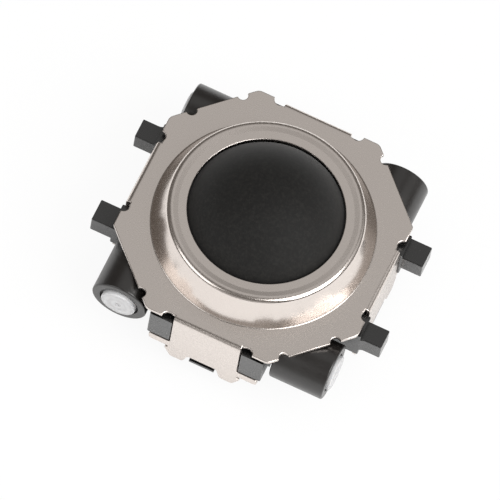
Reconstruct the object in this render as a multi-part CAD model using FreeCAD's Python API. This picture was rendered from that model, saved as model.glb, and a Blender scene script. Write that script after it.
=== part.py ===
import FreeCAD, Part
import math
import os

from FreeCAD import Vector

# Trackball module for a hand-held device. Millimetres, +Z up.
# The origin is the centre of the flat underside that presses on the device's board.
# X points to the right-hand pegs and Y to the rear.

# Ball
ball_radius = 3.20
ball_below_plate = 0.275
pocket_gap = 0.12
contact_gap = 0.03
lip_gap = 0.03

# Sheet steel cover
sheet = 0.15
bend_inside = 0.05
collar_height = 1.31
annulus_width = 0.727
collar_slope = 0.52
crest_round = 0.24
bead_width = 0.20
bead_height = 0.04
collar_root_round = 0.12
collar_root_flange = 0.25
opening_edge_round = 0.02
ear_margin = 0.16
ear_corner_round = 0.32
plain_ear_round = 0.14
relief_radius = 0.23
notch_radius = 0.20
notch_from_ear = 0.65
side_notch_from_ear = 0.87

# Folded walls of the cover
arm_gap = 0.06
arm_height = 0.38
arm_short_of_block = 0.10
kerf_height = 0.14
kerf_from_neck = 0.05
foot_height = 0.59
foot_inset = 0.09
foot_shoulder = 0.30
foot_notch_share = 0.587
foot_notch_height = 0.55
foot_notch_inset = 0.16
wall_round = 0.08

# Rollers: the barrel drives against the ball and the magnet overhangs its bearing
barrel_radius = 0.53
barrel_end_gap = 0.12
barrel_edge = 0.08
journal_radius = 0.25
journal_tail = 0.08
journal_gap = 0.02
shaft_in_hub = 1.25
magnet_radius = 1.09
magnet_length = 2.13
magnet_headroom = 0.06
magnet_from_block = 0.21
magnet_beside_block = 0.236
magnet_edge_round = 0.07
magnet_recess_width = 0.09
magnet_recess_depth = 0.16
hub_radius = 0.68
hub_proud = 0.12
hub_edge = 0.05
hub_nose_radius = 0.45
hub_nose_gap = 0.15
hub_centre_radius = 0.08
hub_centre_depth = 0.04

# Moulded frame
neck_gap = 0.03
block_width = 0.91
block_top = 0.40
block_bottom = 1.88
block_short_of_wall = 0.03
side_block_proud = 0.08
block_leg_inset = 1.00
block_edge = 0.05
channel_gap = 0.17
side_wall = 0.434
shell_gap = 0.05
corner_wall = 0.22
magnet_gap = 0.12
floor_gap = 0.16
floor_thickness = 0.33
floor_corner_inset = 1.35
tongue_half = 0.50
tongue_height = 0.12
boss_wall = 0.47
boss_floor = 0.28
boss_edge_round = 0.25
peg_top = 0.66
peg_height = 0.86
peg_reach = 0.90
peg_shoulder = 0.06
wide_peg_overhang = 0.04
peg_flare = 0.14
peg_flare_round = 0.30
peg_edge = 0.04

# Bearing bushes, the retainer that closes their slots, and the ball's seat
bush_radius = 0.42
bush_lead_in = 0.06
finger_gap = 0.03
retainer_inset = 0.40
retainer_ring = 0.30
retainer_edge_round = 0.15
seat_radius = 0.75
seat_thickness = 0.12
seat_dish = 0.06

# Places that follow from the sizes
ball_z = boss_floor + seat_thickness + contact_gap + ball_radius
plate_z = ball_z + ball_below_plate
roller_depth = sheet + magnet_headroom + magnet_radius
roller_z = plate_z - roller_depth
roller_reach = ball_radius + contact_gap + barrel_radius
roller_offset = math.sqrt(roller_reach ** 2 - (ball_z - roller_z) ** 2)
channel_half = barrel_radius + channel_gap
frame_half = roller_offset + channel_half + side_wall
wall_inner = frame_half + shell_gap
wall_outer = wall_inner + sheet
block_out = roller_offset - magnet_radius - magnet_beside_block
block_in = block_out - block_width
neck_half = block_in - neck_gap
block_face = wall_outer - block_short_of_wall
side_block_face = wall_outer + side_block_proud
ear_half = block_out + ear_margin
pocket_radius = ball_radius + pocket_gap
block_root = math.sqrt(pocket_radius ** 2 - block_out ** 2)
magnet_start = block_out + magnet_from_block
magnet_end = magnet_start + magnet_length
hub_end = magnet_end + hub_proud
floor_top = roller_depth + magnet_radius + floor_gap
floor_bottom = floor_top + floor_thickness
lip_over_ball = ball_below_plate + collar_height - bead_height - sheet
opening_radius = math.sqrt((ball_radius + lip_gap) ** 2 - lip_over_ball ** 2)
crest_radius = opening_radius + annulus_width
root_radius = crest_radius + collar_slope
bead_radius = crest_radius - bead_width
relief_middle = neck_half + relief_radius
clear = 10.0

QUARTERS = {"left": 0, "front": 1, "right": 2, "rear": 3}
UP = Vector(0, 0, 1)


def depth(value):
    """Height above the underside of a level given as a depth below the plate's top."""
    return plate_z - value


def box(x_low, x_high, y_low, y_high, z_low, z_high):
    """Block between two opposite corners."""
    corner = Vector(x_low, y_low, z_low)
    return Part.makeBox(x_high - x_low, y_high - y_low, z_high - z_low, corner)


def along_y(radius, y_low, y_high, x=0.0, z=0.0):
    """Cylinder along Y."""
    return Part.makeCylinder(radius, y_high - y_low, Vector(x, y_low, z), Vector(0, 1, 0))


def upright(radius, z_low, z_high, x=0.0, y=0.0):
    """Cylinder along Z."""
    return Part.makeCylinder(radius, z_high - z_low, Vector(x, y, z_low), UP)


def quarter(shape, turns):
    """The shape of the left side carried round to another side."""
    carried = shape.copy()
    carried.rotate(Vector(0, 0, 0), UP, 90 * turns)
    return carried


def outline(corners, place):
    """Face inside a closed outline, whose corners are (u, v, rounding radius)."""
    stops = []
    count = len(corners)
    for index, (u, v, radius) in enumerate(corners):
        here = Vector(u, v, 0)
        before = Vector(corners[index - 1][0], corners[index - 1][1], 0) - here
        after = Vector(corners[(index + 1) % count][0], corners[(index + 1) % count][1], 0) - here
        before.normalize()
        after.normalize()
        if radius <= 0:
            stops.append((here, None, here))
            continue
        half = before.getAngle(after) / 2
        inward = before + after
        inward.normalize()
        reach = radius / math.tan(half)
        middle = here + inward * (radius / math.sin(half) - radius)
        stops.append((here + before * reach, middle, here + after * reach))
    edges = []
    for index, (start, middle, end) in enumerate(stops):
        if middle is not None:
            edges.append(Part.Arc(place(start), place(middle), place(end)).toShape())
        following = stops[(index + 1) % count][0]
        if end.distanceToPoint(following) > 1e-6:
            edges.append(Part.LineSegment(place(end), place(following)).toShape())
    return Part.Face(Part.Wire(edges))


def flat(corners, z):
    """Outline in a level plane."""
    return outline(corners, lambda p: Vector(p.x, p.y, z))


def turned(corners, turn_axis, place):
    """Solid of revolution of an outline round an axis through the origin."""
    return outline(corners, place).revolve(Vector(0, 0, 0), turn_axis, 360)


def fuse_all(shapes):
    """One solid of all the shapes, with no seams left between flush faces."""
    first = shapes[0]
    return first.multiFuse(shapes[1:]).removeSplitter()


def cut_all(shape, tools):
    """The shape less every tool."""
    for tool in tools:
        shape = shape.cut(tool)
    return shape.removeSplitter()


def rounded_edges(shape, radius, wanted):
    """Fillet on the edges that the test picks."""
    edges = [edge for edge in shape.Edges if wanted(edge)]
    return shape.makeFillet(radius, edges) if edges else shape


# Cover


def plate():
    """Eight-sided plate with rounded ears, small notches, bend reliefs and room for the folds."""
    corners = [
        (ear_half, wall_outer, ear_corner_round),
        (wall_outer, ear_half, plain_ear_round),
        (wall_outer, -ear_half, ear_corner_round),
        (ear_half, -wall_outer, ear_corner_round),
    ]
    corners += [(-x, -y, radius) for x, y, radius in corners]
    blank = flat(corners, depth(sheet)).extrude(Vector(0, 0, sheet))
    step = notch_from_ear / math.sqrt(2)
    side_step = side_notch_from_ear / math.sqrt(2)
    notches = [
        (ear_half + step, wall_outer - step),
        (ear_half + step, step - wall_outer),
        (wall_outer - side_step, -ear_half - side_step),
    ]
    fold_start = wall_inner - bend_inside
    fold_room = box(-wall_outer, -fold_start, -relief_middle, relief_middle, depth(sheet), depth(0))
    tools = [upright(root_radius + collar_root_flange, depth(sheet), depth(0))]
    for turns in range(4):
        tools.append(quarter(fold_room, turns))
        for side in (1, -1):
            relief = upright(relief_radius, depth(sheet), depth(0), -wall_outer, side * relief_middle)
            tools.append(quarter(relief, turns))
    for x, y in notches:
        notch = upright(notch_radius, depth(sheet), depth(0), x, y)
        tools += [notch, quarter(notch, 2)]
    return cut_all(blank, tools)


def collar():
    """Drawn collar: flange, sloped wall, rounded bead and the flat annulus round the ball."""
    slope = math.atan2(collar_slope, collar_height)
    along = sheet * math.tan((math.pi / 2 - slope) / 2)
    flange = root_radius + collar_root_flange
    top = depth(-collar_height)
    annulus = top - bead_height
    corners = [
        (flange, depth(0), 0),
        (root_radius, depth(0), collar_root_round),
        (crest_radius, top, crest_round),
        (bead_radius, top, bead_height / 2),
        (bead_radius - bead_height, annulus, bead_height / 2),
        (opening_radius, annulus, opening_edge_round),
        (opening_radius, annulus - sheet, 0),
        (crest_radius - along, annulus - sheet, crest_round - sheet),
        (root_radius - along, depth(sheet), collar_root_round + sheet),
        (flange, depth(sheet), 0),
    ]
    return turned(corners, UP, lambda p: Vector(p.x, 0, p.y))


def wall():
    """Folded wall of the left side: bend, neck, hooked arms and feet, in one sheet."""
    bend_outside = bend_inside + sheet
    fold = [
        (wall_inner - bend_inside, depth(0), 0),
        (wall_outer, depth(0), bend_outside),
        (wall_outer, depth(bend_outside), 0),
        (wall_inner, depth(bend_outside), 0),
        (wall_inner, depth(sheet), bend_inside),
        (wall_inner - bend_inside, depth(sheet), 0),
    ]
    bend = outline(fold, lambda p: Vector(-p.x, -neck_half, p.y))
    bend = bend.extrude(Vector(0, 2 * neck_half, 0))
    arm_top = block_bottom + arm_gap
    arm_end = block_out - arm_short_of_block
    arm_bottom = arm_top + arm_height
    kerf_bottom = arm_bottom + kerf_height
    kerf_end = neck_half + kerf_from_neck
    foot_bottom = kerf_bottom + foot_height
    foot_out = neck_half - foot_inset
    foot_in = foot_out * foot_notch_share
    foot_round = min(wall_round * 2, (foot_out - foot_in) / 3)
    half = [
        (neck_half, bend_outside, 0),
        (neck_half, arm_top, wall_round / 2),
        (arm_end, arm_top, wall_round),
        (arm_end, arm_bottom, wall_round * 2),
        (kerf_end, arm_bottom, wall_round / 2),
        (kerf_end, kerf_bottom, wall_round / 2),
        (foot_out + foot_shoulder, kerf_bottom, wall_round),
        (foot_out, foot_bottom, foot_round),
        (foot_in, foot_bottom, foot_round),
        (foot_in - foot_notch_inset, foot_bottom - foot_notch_height, foot_round),
    ]
    corners = half + [(-s, level, radius) for s, level, radius in reversed(half)]
    skirt = outline(corners, lambda p: Vector(-wall_outer, p.x, depth(p.y)))
    return bend.fuse(skirt.extrude(Vector(sheet, 0, 0)))


def top_shell():
    """The whole cover, one folded sheet."""
    pieces = [plate(), collar()]
    pieces += [quarter(wall(), turns) for turns in range(4)]
    return fuse_all(pieces)


# Rollers, drawn at the left side: the axis runs along Y and the magnet is at the front


def roller_turned(corners):
    """Solid of revolution round the left roller's axis, from (radius, place along Y) corners."""
    solid = turned(corners, Vector(0, 1, 0), lambda p: Vector(p.x, p.y, 0))
    solid.translate(Vector(-roller_offset, 0, roller_z))
    return solid


def shaft():
    """Turned shaft: barrel against the ball, a journal each side, one of them held in the hub."""
    barrel_half = block_in - barrel_end_gap
    held_end = -(magnet_start + shaft_in_hub)
    free_end = block_out + journal_tail
    edge = journal_radius / 3
    return roller_turned([
        (0, held_end, 0),
        (journal_radius, held_end, edge),
        (journal_radius, -barrel_half, 0),
        (barrel_radius, -barrel_half, barrel_edge),
        (barrel_radius, barrel_half, barrel_edge),
        (journal_radius, barrel_half, 0),
        (journal_radius, free_end, edge),
        (0, free_end, 0),
    ])


def magnet():
    """Ring magnet with rounded edges and a shallow recess round the hub at its outer end."""
    recess = hub_radius + magnet_recess_width
    return roller_turned([
        (hub_radius, -magnet_start, 0),
        (magnet_radius, -magnet_start, magnet_edge_round),
        (magnet_radius, -magnet_end, magnet_edge_round),
        (recess, -magnet_end, magnet_recess_width / 3),
        (recess, -magnet_end + magnet_recess_depth, 0),
        (hub_radius, -magnet_end + magnet_recess_depth, 0),
    ])


def hub():
    """Hub in the magnet's bore, with a thrust nose, a proud end disc and a centre mark."""
    nose = -(block_out + hub_nose_gap)
    held_end = -(magnet_start + shaft_in_hub)
    return roller_turned([
        (journal_radius, nose, 0),
        (hub_nose_radius, nose, hub_edge),
        (hub_nose_radius, -magnet_start, 0),
        (hub_radius, -magnet_start, 0),
        (hub_radius, -hub_end, hub_edge),
        (hub_centre_radius, -hub_end, 0),
        (hub_centre_radius, -hub_end + hub_centre_depth, 0),
        (0, -hub_end + hub_centre_depth, 0),
        (0, held_end, 0),
        (journal_radius, held_end, journal_radius / 3),
    ])


def bush(side):
    """Bearing bush in a block; side is -1 towards the magnet and 1 towards the free end."""
    y_low = min(side * block_in, side * block_out)
    y_high = y_low + block_width
    bore_radius = journal_radius + journal_gap
    bore = along_y(bore_radius, y_low, y_high, -roller_offset, roller_z)
    lead_in = Part.makeCone(
        bore_radius + bush_lead_in,
        bore_radius,
        bush_lead_in,
        Vector(-roller_offset, side * block_out, roller_z),
        Vector(0, -side, 0),
    )
    return cut_all(along_y(bush_radius, y_low, y_high, -roller_offset, roller_z), [bore, lead_in])


# Moulded frame


def magnet_room():
    """Space in which the left side's magnet turns."""
    near_end = magnet_gap - magnet_start
    return along_y(magnet_radius + magnet_gap, -clear, near_end, -roller_offset, roller_z)


def bearing_slot():
    """Space of one side's open bearing slots and of the roller between them."""
    slot = along_y(bush_radius, -block_out, block_out, -roller_offset, roller_z)
    mouth = box(
        -roller_offset - bush_radius,
        -roller_offset + bush_radius,
        -block_out,
        block_out,
        roller_z,
        depth(0),
    )
    channel = along_y(channel_half, -block_in, block_in, -roller_offset, roller_z)
    channel_mouth = box(
        -roller_offset - channel_half,
        -roller_offset + channel_half,
        -block_in,
        block_in,
        roller_z,
        depth(0),
    )
    return [slot, mouth, channel, channel_mouth, magnet_room()]


def peg(side):
    """Square locating peg on one bearing block of the left side: wide in front, flared behind."""
    flank_in = block_in + peg_shoulder
    x_end = wall_outer + peg_reach
    corners = [(-frame_half, side * flank_in, 0), (-x_end, side * flank_in, peg_edge)]
    if side > 0:
        flank_out = block_out - peg_shoulder
        corners += [
            (-x_end, flank_out, peg_edge),
            (-side_block_face - peg_flare, flank_out, peg_flare_round),
            (-side_block_face, block_out, 0),
            (-frame_half, block_out, 0),
        ]
    else:
        flank_out = -block_out - wide_peg_overhang
        corners += [(-x_end, flank_out, peg_edge), (-frame_half, flank_out, 0)]
    body = flat(corners, depth(peg_top + peg_height)).extrude(Vector(0, 0, peg_height))
    return rounded_edges(body, peg_edge, lambda edge: edge.BoundBox.XMax < peg_edge - x_end + 1e-6)


def bearing_block(side, face):
    """Block that carries a bush: full height inside, hooked over the cover's arm outside."""
    y_low = min(side * block_in, side * block_out)
    y_high = y_low + block_width
    upper = box(-face, -block_root, y_low, y_high, depth(block_bottom), depth(block_top))
    upper = rounded_edges(
        upper,
        block_edge,
        lambda edge: edge.BoundBox.XMax < 1e-6 - face and edge.BoundBox.YLength < 1e-6,
    )
    leg_face = block_face - block_leg_inset
    leg = box(-leg_face, -block_root, y_low, y_high, depth(floor_top), depth(block_top))
    return upper.fuse(leg)


def side_parts(face):
    """Blocks, side wall and tongue of the left side."""
    middle = box(
        -frame_half,
        -frame_half + side_wall,
        -block_in,
        block_in,
        depth(floor_bottom),
        depth(block_top),
    )
    tongue = box(
        -block_face,
        -frame_half + side_wall,
        -tongue_half,
        tongue_half,
        depth(floor_bottom),
        depth(floor_bottom - tongue_height),
    )
    return [bearing_block(1, face), bearing_block(-1, face), middle, tongue]


def frame_floor():
    """Eight-sided floor under the rollers."""
    half = frame_half
    near = ear_half - floor_corner_inset + shell_gap
    corners = []
    for x, y in ((near, half), (half, near), (half, -near), (near, -half)):
        corners.append((x, y, 0))
    corners += [(-x, -y, radius) for x, y, radius in corners]
    return flat(corners, depth(floor_bottom)).extrude(Vector(0, 0, floor_thickness))


def boss():
    """Round boss under the floor, whose flat underside is what the module stands on."""
    drop = plate_z - floor_bottom
    below_centre = ball_z - depth(floor_bottom)
    radius = math.sqrt(pocket_radius ** 2 - below_centre ** 2) + boss_wall
    corners = [
        (0, 0, 0),
        (radius, 0, boss_edge_round),
        (radius, drop, 0),
        (0, drop, 0),
    ]
    return turned(corners, UP, lambda p: Vector(p.x, 0, p.y))


def pocket():
    """Room for the ball: round below its middle, straight above."""
    sphere = Part.makeSphere(pocket_radius, Vector(0, 0, ball_z))
    return sphere.fuse(upright(pocket_radius, ball_z, plate_z))


def base_frame():
    """Moulded frame with its bearing blocks, pegs, floor, corner walls and boss."""
    ring = upright(pocket_radius + corner_wall, depth(floor_bottom), depth(block_top))
    solids = [frame_floor(), ring, boss()]
    for turns in (0, 2):
        solids += [quarter(solid, turns) for solid in side_parts(side_block_face)]
        solids += [quarter(peg(side), turns) for side in (1, -1)]
    for turns in (1, 3):
        solids += [quarter(solid, turns) for solid in side_parts(block_face)]
    body = fuse_all(solids)
    tools = [pocket(), seat_recess()]
    for turns in range(4):
        tools += [quarter(tool, turns) for tool in bearing_slot()]
    return cut_all(body, tools)


def seat_recess():
    """Round recess in the boss for the ball's seat."""
    return upright(seat_radius, boss_floor, ball_z - ball_radius + pocket_gap)


def ball_seat():
    """Button under the ball, dished to the ball's form."""
    button = upright(seat_radius, boss_floor, boss_floor + seat_thickness + seat_dish)
    return button.cut(Part.makeSphere(ball_radius + contact_gap, Vector(0, 0, ball_z)))


def finger(side):
    """Retainer's finger that closes the slot over a bush of the left side."""
    y_low = min(side * block_in, side * block_out)
    reach = bush_radius - finger_gap
    post = box(
        -roller_offset - reach,
        -roller_offset + reach,
        y_low,
        y_low + block_width,
        roller_z,
        depth(block_top),
    )
    return post.cut(along_y(bush_radius, -block_out, block_out, -roller_offset, roller_z))


def roller_retainer():
    """Cross-shaped moulding round the ball that lies between the blocks and the plate."""
    reach = frame_half - retainer_inset
    corners = []
    for x, y in ((reach, block_out), (-reach, block_out), (-reach, -block_out), (reach, -block_out)):
        corners.append((x, y, retainer_edge_round))
    bar = flat(corners, depth(block_top)).extrude(Vector(0, 0, block_top - sheet))
    ring = upright(pocket_radius + retainer_ring, depth(block_top), depth(sheet))
    solids = [bar, quarter(bar, 1), ring]
    tools = [upright(pocket_radius, 0, plate_z)]
    for turns in range(4):
        solids += [quarter(finger(side), turns) for side in (1, -1)]
        tools.append(quarter(magnet_room(), turns))
    return cut_all(fuse_all(solids), tools)


def write(name, shape):
    """Checks one node and writes its STEP file."""
    solids = shape.Solids
    if not shape.isValid() or len(solids) != 1:
        raise ValueError(f"{name}: valid {shape.isValid()}, solids {len(solids)}")
    solids[0].exportStep(f"parts/{name}.step")
    print(f"{name:20s} {solids[0].Volume:9.4f} mm3")


os.makedirs("parts", exist_ok=True)
write("top_shell", top_shell())
write("ball", Part.makeSphere(ball_radius, Vector(0, 0, ball_z)))
write("base_frame", base_frame())
write("roller_retainer", roller_retainer())
write("ball_seat", ball_seat())
for place, turns in QUARTERS.items():
    write(f"{place}_shaft", quarter(shaft(), turns))
    write(f"{place}_magnet", quarter(magnet(), turns))
    write(f"{place}_hub", quarter(hub(), turns))
    write(f"{place}_magnet_bush", quarter(bush(-1), turns))
    write(f"{place}_tail_bush", quarter(bush(1), turns))
print(f"plate top {plate_z:.3f}, ball centre {ball_z:.3f}, roller axis {roller_z:.3f}")
print(f"roller offset {roller_offset:.4f}, wall {wall_outer:.4f}, opening {opening_radius:.4f}")
print(f"crest {crest_radius:.3f}, root {root_radius:.3f}, ear {ear_half:.3f}, hub end {hub_end:.3f}")
print(f"roller turns {-(ball_radius / barrel_radius):.5f} for one turn of the ball")
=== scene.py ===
import logging
import math
from collections.abc import Callable, Mapping, Sequence
from dataclasses import dataclass, field
from enum import Enum
from typing import Any, ClassVar, Union

import bmesh
import bpy
from mathutils import Matrix, Vector


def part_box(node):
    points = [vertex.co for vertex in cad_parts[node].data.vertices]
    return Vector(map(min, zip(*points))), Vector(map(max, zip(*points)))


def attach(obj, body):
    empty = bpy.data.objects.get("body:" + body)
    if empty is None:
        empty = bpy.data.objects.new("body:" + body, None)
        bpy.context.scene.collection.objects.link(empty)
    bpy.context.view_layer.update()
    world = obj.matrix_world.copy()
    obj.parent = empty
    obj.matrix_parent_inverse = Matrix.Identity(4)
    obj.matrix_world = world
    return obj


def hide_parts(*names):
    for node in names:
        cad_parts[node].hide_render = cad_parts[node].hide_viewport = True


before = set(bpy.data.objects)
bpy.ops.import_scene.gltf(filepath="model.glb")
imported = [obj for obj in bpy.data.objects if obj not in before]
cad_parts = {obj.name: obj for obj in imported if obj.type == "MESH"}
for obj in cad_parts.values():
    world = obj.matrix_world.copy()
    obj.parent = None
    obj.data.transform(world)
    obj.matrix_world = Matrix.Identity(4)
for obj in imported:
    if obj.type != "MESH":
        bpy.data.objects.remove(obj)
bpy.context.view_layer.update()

log = logging.getLogger("trackball")

Colour = tuple[float, float, float]
Corner = tuple[float, float, float]
Scale = tuple[float, float, float]
Span = tuple[float, float]

# Pieces are drawn in millimetres, where points closer than MERGE are one, and MM makes them metres
MM = 0.001
MERGE = 0.0005

# Drawn arcs turn by ARC_STEP at a time, the collar has ROUND_STEPS to its turn, and a roller half of them
ARC_STEP = math.radians(9)
ROUND_STEPS = 160

# Edges above SHARP shade as edges, and those above BROKEN_FROM are broken in EDGE_SEGMENTS steps
SHARP = math.radians(20)
BROKEN_FROM = math.radians(40)
EDGE_SEGMENTS = 2

# Large faces keep their own direction in the shading, and broken edges take up the turn
FLAT_WEIGHT = 50

# A face whose normal rises by less than this stands upright
UPRIGHT = 0.1

WHITE: Colour = (1.0, 1.0, 1.0)


class Side(Enum):
    """The four sides of the module, in quarter turns from the left one."""

    LEFT = 0
    FRONT = 1
    RIGHT = 2
    REAR = 3

    @property
    def label(self) -> str:
        """The side's name as the nodes write it."""
        return self.name.lower()


class Plane(Enum):
    """Planes that an outline can be drawn in, as the directions of its two axes."""

    LEVEL = ((1, 0, 0), (0, 1, 0))
    SKIRT = ((0, 1, 0), (0, 0, 1))
    SECTION = ((1, 0, 0), (0, 0, 1))

    def vector(self, u: float, v: float) -> Vector:
        """Direction or place of (u, v) in space."""
        return Vector(self.value[0]) * u + Vector(self.value[1]) * v

    @property
    def normal(self) -> Vector:
        """Axis about which a turn from u to v is positive."""
        return Vector(self.value[0]).cross(Vector(self.value[1]))


class Bench:
    """Modelling moves of one workpiece, in edit mode and object mode."""

    def __init__(self, name: str) -> None:
        """Starts a workpiece as one point at the origin.

        Args:
            name: Name of the object.
        """
        bpy.ops.object.select_all(action="DESELECT")
        bpy.ops.mesh.primitive_plane_add(size=1)
        self.piece = bpy.context.object
        self.piece.name = name
        self.piece.data.name = name
        self.edit()
        bpy.ops.mesh.select_mode(type="VERT")
        self.whole()
        bpy.ops.mesh.merge(type="CENTER")

    def pick_up(self, others: Sequence[bpy.types.Object] = ()) -> None:
        """Selects the workpiece, and others with it, and makes it the active one.

        Args:
            others: Objects that are selected too.
        """
        bpy.ops.object.select_all(action="DESELECT")
        for piece in (*others, self.piece):
            piece.select_set(True)
        bpy.context.view_layer.objects.active = self.piece

    def edit(self) -> None:
        """Enters edit mode on the workpiece alone."""
        self.pick_up()
        bpy.ops.object.mode_set(mode="EDIT")

    def leave(self) -> None:
        """Goes back to object mode."""
        bpy.ops.object.mode_set(mode="OBJECT")

    def whole(self) -> None:
        """Selects all of the workpiece's mesh."""
        bpy.ops.mesh.select_all(action="SELECT")

    def shift(self, step: Sequence[float]) -> None:
        """Moves the whole mesh, while the object stays at the origin.

        Args:
            step: Distance along X, Y and Z.
        """
        self.edit()
        self.whole()
        bpy.ops.transform.translate(value=step)
        self.leave()

    def revolve(self, steps: int, axis: tuple[int, int, int]) -> None:
        """Turns a drawn profile once round an axis through the origin.

        Args:
            steps: Number of steps in the turn.
            axis: Direction of the axis.
        """
        self.whole()
        bpy.ops.mesh.spin(steps=steps, angle=math.tau, center=(0, 0, 0), axis=axis)
        self.seal()
        self.leave()

    def select(self, kind: str, wanted: Callable[[Any], bool]) -> None:
        """Selects the faces or edges that a test picks.

        Args:
            kind: "faces" or "edges".
            wanted: Test of one face or edge.
        """
        bpy.ops.mesh.select_mode(type="FACE" if kind == "faces" else "EDGE")
        bpy.ops.mesh.select_all(action="DESELECT")
        mesh = bmesh.from_edit_mesh(self.piece.data)
        for element in getattr(mesh, kind):
            if wanted(element):
                element.select_set(True)
        bmesh.update_edit_mesh(self.piece.data)

    def seal(self) -> None:
        """Merges doubles and turns every face outwards."""
        bpy.ops.mesh.select_mode(type="VERT")
        self.whole()
        bpy.ops.mesh.remove_doubles(threshold=MERGE)
        bpy.ops.mesh.normals_make_consistent(inside=False)

    def modify(self, kind: str, **settings: Any) -> None:
        """Adds a modifier and applies it.

        Args:
            kind: Type of the modifier.
            **settings: Its properties.
        """
        modifier = self.piece.modifiers.new(kind.title(), kind)
        for name, value in settings.items():
            setattr(modifier, name, value)
        self.pick_up()
        bpy.ops.object.modifier_apply(modifier=modifier.name)

    def absorb(self, others: Sequence[bpy.types.Object]) -> None:
        """Joins other objects into the workpiece.

        Args:
            others: Objects that become part of it.
        """
        self.pick_up(others)
        bpy.ops.object.join()

    def finish(self, edge: float = 0.0) -> bpy.types.Object:
        """Breaks the sharp edges, brings the piece to metres and smooths its shading.

        Args:
            edge: Width of the broken edges in millimetres, or 0 for none.

        Returns:
            The finished object.
        """
        if edge:
            self.modify(
                "BEVEL",
                width=edge,
                segments=EDGE_SEGMENTS,
                limit_method="ANGLE",
                angle_limit=BROKEN_FROM,
                use_clamp_overlap=False,
                loop_slide=False,
            )
        bpy.ops.object.shade_smooth_by_angle(angle=SHARP)
        self.piece.scale = (MM, MM, MM)
        bpy.ops.object.transform_apply(location=True, rotation=True, scale=True)
        self.modify("WEIGHTED_NORMAL", mode="FACE_AREA", weight=FLAT_WEIGHT, keep_sharp=True)
        return self.piece


def turned_copy(piece: bpy.types.Object, name: str, side: Side) -> bpy.types.Object:
    """Copy of a left-hand piece, with a mesh of its own, carried round to another side.

    Args:
        piece: The piece as made for the left side.
        name: Name of the copy.
        side: Side that it goes to.

    Returns:
        The copy, at the origin and unturned.
    """
    copy = piece.copy()
    copy.data = piece.data.copy()
    copy.name = name
    copy.data.name = name
    bpy.context.scene.collection.objects.link(copy)
    copy.data.transform(Matrix.Rotation(math.radians(90 * side.value), 4, "Z"))
    return copy


class Pen:
    """Draws lines and arcs as edges of a workpiece, each from the point before it."""

    def __init__(self, plane: Plane, offset: Vector = Vector()) -> None:
        """Sets the plane to draw in.

        Args:
            plane: Directions of the drawing's axes.
            offset: Place of the drawing's origin.
        """
        self.plane = plane
        self.offset = offset
        self.at = Vector()

    def start(self, u: float, v: float) -> None:
        """Moves the workpiece's single point to where the drawing starts."""
        self.at = self.offset + self.plane.vector(u, v)
        bpy.ops.transform.translate(value=self.at)

    def line(self, u: float, v: float) -> None:
        """Draws a straight edge to a point, or nothing if the pen is there already.

        Args:
            u: Place along the first axis.
            v: Place along the second axis.
        """
        goal = self.offset + self.plane.vector(u, v)
        step = goal - self.at
        if step.length < MERGE:
            return
        bpy.ops.mesh.extrude_region_move(TRANSFORM_OT_translate={"value": step})
        self.at = goal

    def arc(self, centre_u: float, centre_v: float, turn: float) -> None:
        """Draws an arc round a centre.

        Args:
            centre_u: Centre along the first axis.
            centre_v: Centre along the second axis.
            turn: Angle in radians, positive from the first axis to the second.
        """
        centre = self.offset + self.plane.vector(centre_u, centre_v)
        normal = self.plane.normal
        bpy.ops.mesh.spin(
            steps=max(2, math.ceil(abs(turn) / ARC_STEP)),
            angle=-turn,
            center=centre,
            axis=normal,
        )
        self.at = centre + Matrix.Rotation(turn, 3, normal) @ (self.at - centre)

    def trace(self, corners: Sequence[Corner], closed: bool) -> None:
        """Draws an outline whose corners are rounded.

        Args:
            corners: Corners as (u, v, rounding radius).
            closed: Whether the last corner leads back to the first.
        """
        stops = [self.rounding(corners, index) for index in range(len(corners))]
        last = stops[0]
        self.start(*last[2])
        for entry, centre, _, turn in stops[1:] + ([last] if closed else []):
            self.line(*entry)
            if turn:
                self.arc(*centre, turn)

    @staticmethod
    def rounding(corners: Sequence[Corner], index: int) -> tuple[Vector, Vector, Vector, float]:
        """Works out the arc at one corner.

        Args:
            corners: Corners as (u, v, rounding radius).
            index: Which corner.

        Returns:
            Start, centre and end of the arc, and the angle it turns.
        """
        u, v, radius = corners[index]
        here = Vector((u, v))
        if radius <= 0:
            return here, here, here, 0.0
        before = (Vector(corners[index - 1][:2]) - here).normalized()
        after = (Vector(corners[(index + 1) % len(corners)][:2]) - here).normalized()
        half = before.angle(after) / 2
        reach = radius / math.tan(half)
        centre = here + (before + after).normalized() * (radius / math.sin(half))
        turn = math.copysign(math.pi - 2 * half, before.cross(after) * -1)
        return here + before * reach, centre, here + after * reach, turn


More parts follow.
